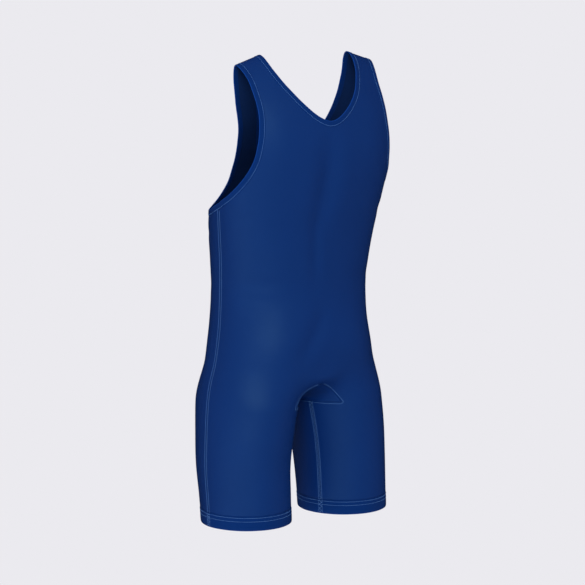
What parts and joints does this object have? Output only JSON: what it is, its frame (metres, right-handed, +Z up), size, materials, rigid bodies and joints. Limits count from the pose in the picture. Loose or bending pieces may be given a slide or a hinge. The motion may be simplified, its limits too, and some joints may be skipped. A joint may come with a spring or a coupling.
{
  "type": "wrestling singlet",
  "caption": "One-piece wrestling singlet of stretch knit, filled out as worn: wide straps, scooped neck, low armholes and two mid-thigh legs with banded hems.",
  "frame": {"origin": "midway between the tops of the two shoulder straps, on the line where the wearer's shoulders hold the garment up", "axes": "+Z up, the front of the garment faces -Y, the garment's own left is +X"},
  "size_m": [0.3766, 0.2423, 0.8339],
  "materials": {
    "body_knit": "smooth stretch knit with a soft satin sheen",
    "band_knit": "the same knit, folded and stitched flat"
  },
  "bodies": {
    "root": {"front_panel": "body_knit", "back_panel": "body_knit", "gusset": "body_knit", "neck_band": "band_knit", "armhole_band_left": "band_knit", "armhole_band_right": "band_knit", "leg_band_left": "band_knit", "leg_band_right": "band_knit"}
  },
  "joints": []
}
